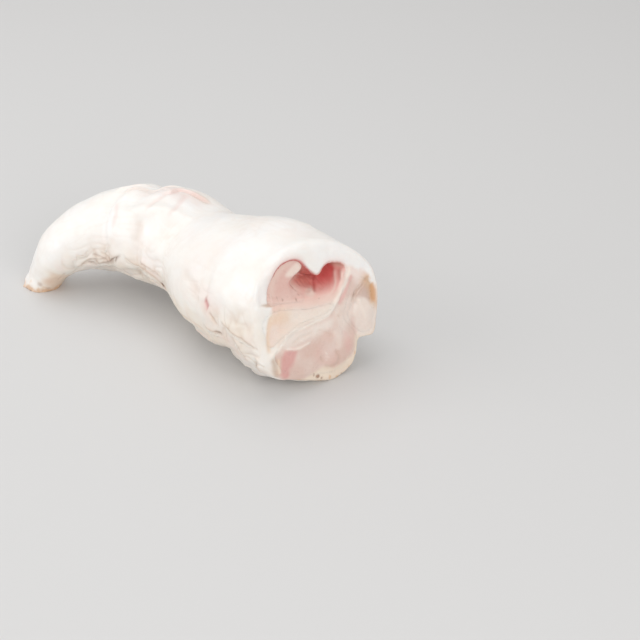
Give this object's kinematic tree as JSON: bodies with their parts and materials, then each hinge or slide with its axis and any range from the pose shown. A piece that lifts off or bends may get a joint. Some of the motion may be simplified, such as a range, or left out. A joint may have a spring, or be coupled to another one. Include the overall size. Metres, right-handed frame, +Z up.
{
  "type": "raw beef tendon",
  "caption": "Thick raw tendon lying on its side, cut across at one end to show pinkish cords and a small pocket in a white sheath, with a drooping ragged tail.",
  "frame": {"origin": "on the surface it lies on, under the middle of its bounding box", "axes": "+X from the tail towards the cut end, +Z up, the shown side faces -Y"},
  "size_m": [0.1789, 0.0736, 0.0637],
  "materials": {
    "sheath": "moist white membrane with a soft sheen",
    "small_tendon": "wet pink, slightly translucent",
    "band_tendon": "wet cream to peach, slightly translucent",
    "deep_tendon": "wet pinkish grey, slightly translucent",
    "side_tendon": "wet pinkish grey, slightly translucent"
  },
  "bodies": {
    "root": {"sheath": "sheath", "small_tendon": "small_tendon", "band_tendon": "band_tendon", "deep_tendon": "deep_tendon", "side_tendon": "side_tendon"}
  },
  "joints": []
}
